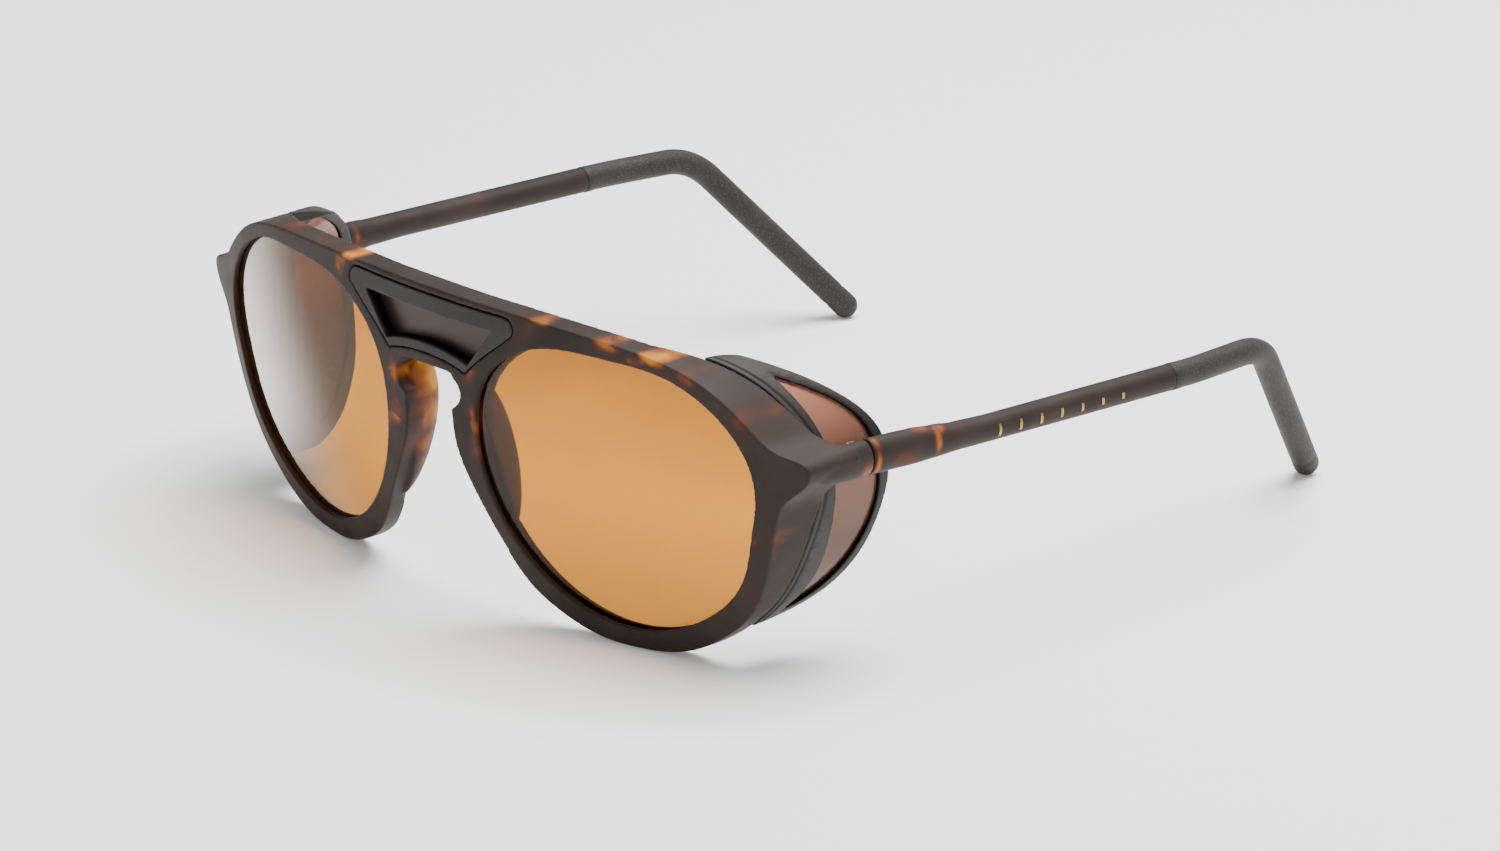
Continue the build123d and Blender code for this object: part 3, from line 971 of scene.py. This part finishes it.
def ringTube(name, rings, side):
    # rings: centre, sideways direction, upward direction, half width, half height
    count = templeSet["ringPoints"]
    points = []
    for centre, sideways, upward, halfWidth, halfHeight in rings:
        for step in range(count):
            angle = 2 * math.pi * step / count
            spot = centre + sideways * math.cos(angle) * halfWidth + upward * math.sin(angle) * halfHeight
            points.append((spot.x * side * mm, spot.y * mm, spot.z * mm))
    faces = []
    for ring in range(len(rings) - 1):
        for step in range(count):
            after = (step + 1) % count
            low = ring * count
            faces.append((low + step, low + after, low + count + after, low + count + step))
    faces.append(tuple(range(count))[::-1])
    last = (len(rings) - 1) * count
    faces.append(tuple(range(last, last + count)))
    mesh = bpy.data.meshes.new(name)
    mesh.from_pydata(points, [], faces)
    shape = bmesh.new()
    shape.from_mesh(mesh)
    bmesh.ops.recalc_face_normals(shape, faces=shape.faces)
    shape.to_mesh(mesh)
    shape.free()
    mesh.shade_smooth()
    return newPiece(name, mesh)


def filletPath(corners, radii, step):
    # evenly spaced points along straight runs joined by arcs, each with its direction
    corners = [Vector(c) for c in corners]
    points = [(corners[0], (corners[1] - corners[0]).normalized())]
    place = corners[0]
    for index in range(1, len(corners)):
        corner = corners[index]
        way = (corner - corners[index - 1]).normalized()
        if index < len(corners) - 1:
            nextWay = (corners[index + 1] - corner).normalized()
            turn = way.angle(nextWay)
            reach = radii[index - 1] * math.tan(turn / 2)
            arcStart = corner - way * reach
        else:
            turn = 0
            arcStart = corner
        length = (arcStart - place).length
        steps = max(1, round(length / step))
        for number in range(1, steps + 1):
            points.append((place + way * length * number / steps, way))
        place = arcStart
        if turn:
            radius = radii[index - 1]
            inward = (nextWay - way * way.dot(nextWay)).normalized()
            middle = arcStart + inward * radius
            steps = max(4, round(radius * turn / step))
            for number in range(1, steps + 1):
                angle = turn * number / steps
                spot = middle - inward * radius * math.cos(angle) + way * radius * math.sin(angle)
                points.append((spot, way * math.cos(angle) + inward * math.sin(angle)))
            place = points[-1][0]
    return points


def roundedEnds(distances, length, edge):
    # how much narrower each ring is, so that both ends have a small round edge
    shares = []
    for distance in distances:
        near = min(distance, length - distance)
        if near < edge:
            shares.append(edge - math.sqrt(max(0, edge ** 2 - (edge - near) ** 2)))
        else:
            shares.append(0)
    return shares


def paintTemple(piece, sideName, distances):
    # one row for each ring of the tube, one column for each point round it
    count = templeSet["ringPoints"]
    angles = 360 * np.arange(count) / count
    offset = patchSet["rightTurn"] if sideName == "right" else 0
    faded = patchSet["fade"][sideName]
    total = np.zeros((len(distances), count))
    for middle, angleMiddle, halfLength, halfAngle, warmth in patchSet["temple"]:
        around = (angles - angleMiddle - offset + 180) % 360 - 180
        along = (np.array(distances) - middle) / halfLength
        reach = np.hypot(along[:, None], around[None, :] / halfAngle)
        total = np.maximum(total, warmth * faded * strength(reach))
    paintWarmth(piece, total.ravel())


def makeTemple(sideName):
    start = Vector((templeSet["shaftX"], templeSet["seamY"], templeSet["hingeZ"]))
    end = Vector(templeSet["sleeveStart"])
    way = (end - start).normalized()
    length = (end - start).length
    upward = Vector((1, 0, 0)).cross(way)
    edge = templeSet["edgeRound"]
    count = templeSet["ringCount"]
    distances = [edge * share for share in templeSet["seamSteps"]]
    distances += [edge + (length - 2 * edge) * number / count for number in range(1, count)]
    distances += [length - edge * share for share in templeSet["sleeveSteps"]]
    cut = roundedEnds(distances, length, edge)
    rings = []
    for distance, narrower in zip(distances, cut):
        halfWidth = smoothValue(templeSet["stations"], 1, distance) - narrower
        halfHeight = smoothValue(templeSet["stations"], 2, distance) - narrower
        inwards = smoothValue(templeSet["stations"], 3, distance)
        centre = start + way * distance - Vector((inwards, 0, 0))
        rings.append((centre, Vector((1, 0, 0)), upward, halfWidth, halfHeight))
    piece = ringTube(sideName + "TempleShaft", rings, sides[sideName])
    paintTemple(piece, sideName, distances)
    return piece


sleeveSet = {
    "step": 0.45,
    "lip": ((0, 0.28), (0.08, 0.12), (0.25, 0.02)),  # mm from the shaft, mm narrower
    "grooveFrom": 5.2,  # mm from the end of the tip
    "grooveWide": 0.9,
    "grooveDeep": 0.16,
    "collar": 0.06,
    "collarLength": 2,
    "tipRings": 11,
    "tipSteps": 11.4,  # rings that the whole quarter circle would take: a tiny flat is left
}


def sleeveRing(centre, way, size):
    sideways = way.cross(Vector((0, 0, 1))).normalized()
    return centre, sideways, sideways.cross(way), size, size


def makeSleeve(sideName):
    corners = [templeSet[name] for name in ("sleeveStart", "sleeveLead", "bend", "tip")]
    path = filletPath(corners, [templeSet["leadRadius"], templeSet["bendRadius"]], sleeveSet["step"])
    radius = templeSet["radius"]
    rings = []
    centre, way = path[0]
    for back, narrower in sleeveSet["lip"]:
        rings.append(sleeveRing(centre + way * back, way, radius - narrower))
    travelled = 0
    lengths = [0]
    for (before, _), (after, _) in zip(path, path[1:]):
        travelled += (after - before).length
        lengths.append(travelled)
    total = lengths[-1]
    for (centre, way), distance in zip(path[1:], lengths[1:]):
        toTip = total + radius - distance
        groove = max(0, 1 - abs(toTip - sleeveSet["grooveFrom"]) / sleeveSet["grooveWide"])
        collar = sleeveSet["collar"] if distance < sleeveSet["collarLength"] else 0
        size = radius - sleeveSet["grooveDeep"] * groove ** 2 + collar
        rings.append(sleeveRing(centre, way, size))
    tip, tipWay = path[-1]
    for number in range(1, sleeveSet["tipRings"] + 1):
        angle = math.pi / 2 * number / sleeveSet["tipSteps"]
        place = tip + tipWay * radius * math.sin(angle)
        rings.append(sleeveRing(place, tipWay, radius * math.cos(angle)))
    return ringTube(sideName + "Sleeve", rings, sides[sideName])


makeCamera()
makeLights()
makeFloor()
print("stage ready")

tortoise = tortoiseMaterial("tortoisePlastic", looks["tortoise"])
charcoal = rubberMaterial("charcoalRubber", looks["charcoal"])
sleeveRubber = rubberMaterial("sleeveRubber", looks["sleeve"])
amberLens = tintedMaterial("amberLens", looks["lens"])
copperWindow = tintedMaterial("copperWindow", looks["copper"])
brownWindow = tintedMaterial("brownWindow", looks["brown"])
steel = metalMaterial("hingeSteel", looks["steel"])
gold = metalMaterial("giltMark", looks["gold"])
print("materials ready")

front = mould("mouldedFront", "front_frame", mouldSet["front_frame"])
paintFront(front)
dress(front, tortoise)
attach(front, "front")
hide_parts("front_frame")
gasket = mould("bridgeInlay", "bridge_gasket", mouldSet["bridge_gasket"])
paintRecessShade(gasket)
dress(gasket, charcoal)
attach(gasket, "front")
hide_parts("bridge_gasket")
dress(cadNodes["bridge_window"], brownWindow)
print("front ready")

cadMaterials = {
    "lens": (amberLens, "amber_lens"),
    "shield_pegs": (charcoal, "charcoal_rubber"),
    "front_hinge": (steel, "hinge_steel"),
    "front_rivets": (steel, "hinge_steel"),
    "hinge_screw": (steel, "hinge_steel"),
    "temple_hinge": (steel, "hinge_steel"),
    "temple_rivets": (steel, "hinge_steel"),
    "core_wire": (steel, "hinge_steel"),
    "temple_marks": (gold, "gold_mark"),
}
for sideName in sides:
    for nodeName, (material, slotName) in cadMaterials.items():
        dress(cadNodes[sideName + "_" + nodeName], material)
    shield = mould(sideName + "ShieldFrame", sideName + "_shield_frame", mouldSet["shield_frame"])
    paintWallShade(shield, sideName + "_shield_window")
    dress(shield, charcoal)
    window = plainCopy(sideName + "ShieldWindow", sideName + "_shield_window")
    dress(window, copperWindow)
    for piece, cadName in ((shield, sideName + "_shield_frame"), (window, sideName + "_shield_window")):
        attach(piece, "front")
        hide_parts(cadName)
        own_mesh(piece)
    print(sideName, "shield ready")
    temple = makeTemple(sideName)
    dress(temple, tortoise)
    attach(temple, sideName + "_arm")
    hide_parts(sideName + "_temple")
    sleeve = makeSleeve(sideName)
    dress(sleeve, sleeveRubber)
    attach(sleeve, sideName + "_arm")
    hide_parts(sideName + "_sleeve")
    print(sideName, "temple ready")
